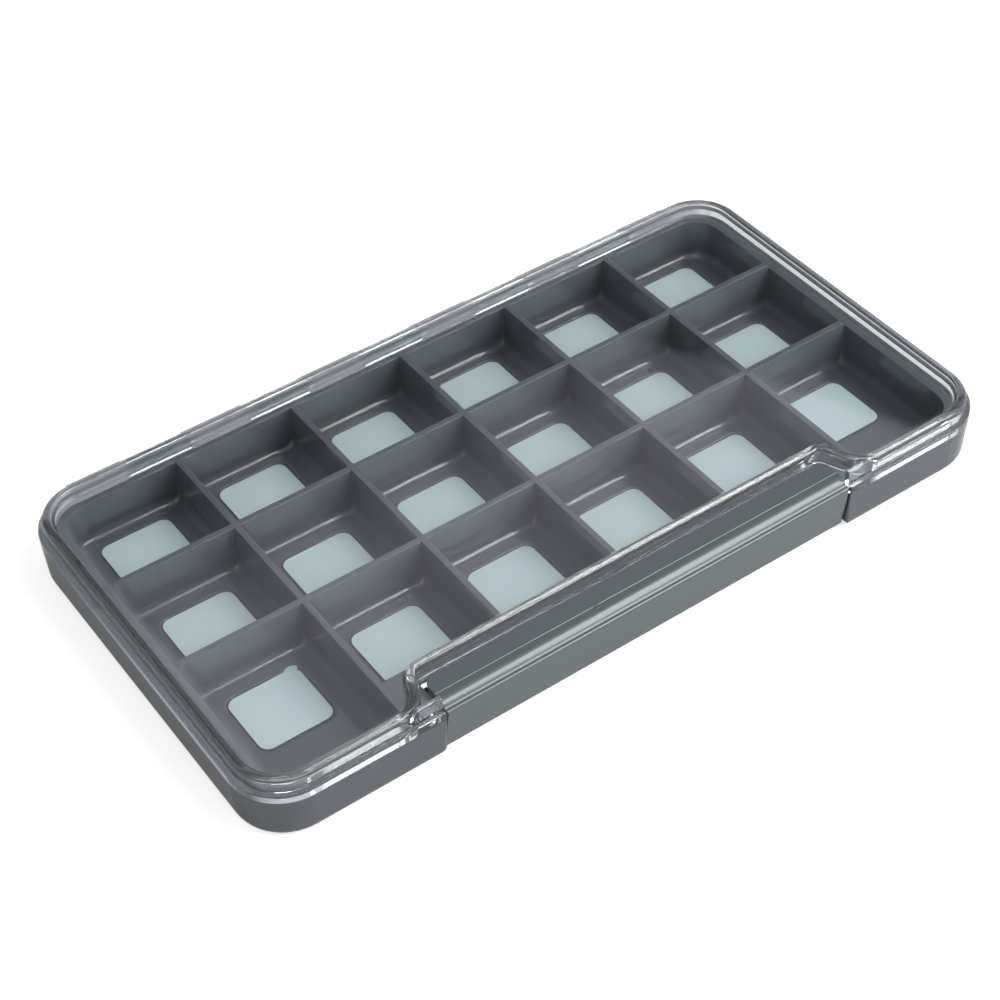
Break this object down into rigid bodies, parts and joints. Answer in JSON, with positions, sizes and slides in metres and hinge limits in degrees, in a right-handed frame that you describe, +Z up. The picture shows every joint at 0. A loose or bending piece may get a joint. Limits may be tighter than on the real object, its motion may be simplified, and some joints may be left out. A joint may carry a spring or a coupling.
{
  "type": "fly box",
  "caption": "Slim rectangular fly box with a grid of compartments, a magnet pad in each floor, a clear hinged lid and a full-width front latch.",
  "frame": {"origin": "middle of the flat underside of the tray", "axes": "+Z up, +X along the length, -Y towards the latch"},
  "size_m": [0.19, 0.104, 0.0165],
  "materials": {
    "tray_grey": "satin moulded",
    "latch_grey": "satin moulded",
    "lid_clear": "clear polished plastic",
    "seal_clear": "translucent silicone",
    "magnet_pad": "smooth satin film",
    "pin_steel": "drawn wire"
  },
  "bodies": {
    "tray": {"base_tray": "tray_grey", "lid_seal": "seal_clear", "lid_hinge_pin": "pin_steel", "latch_pin": "pin_steel", "magnet_pad_rear_1": "magnet_pad", "magnet_pad_rear_2": "magnet_pad", "magnet_pad_rear_3": "magnet_pad", "magnet_pad_rear_4": "magnet_pad", "magnet_pad_rear_5": "magnet_pad", "magnet_pad_rear_6": "magnet_pad", "magnet_pad_middle_1": "magnet_pad", "magnet_pad_middle_2": "magnet_pad", "magnet_pad_middle_3": "magnet_pad", "magnet_pad_middle_4": "magnet_pad", "magnet_pad_middle_5": "magnet_pad", "magnet_pad_middle_6": "magnet_pad", "magnet_pad_front_1": "magnet_pad", "magnet_pad_front_2": "magnet_pad", "magnet_pad_front_3": "magnet_pad", "magnet_pad_front_4": "magnet_pad", "magnet_pad_front_5": "magnet_pad", "magnet_pad_front_6": "magnet_pad"},
    "lid": {"lid": "lid_clear"},
    "latch": {"latch": "latch_grey"}
  },
  "joints": [
    {"name": "lid_hinge", "type": "hinge", "parent": "tray", "child": "lid", "pos_m": [0, 0.0517, 0.0108], "axis": [-1, 0, 0], "range_deg": [0, 180]},
    {"name": "latch_hinge", "type": "hinge", "parent": "tray", "child": "latch", "pos_m": [0, -0.046, 0.0036], "axis": [1, 0, 0], "range_deg": [0, 75]}
  ]
}
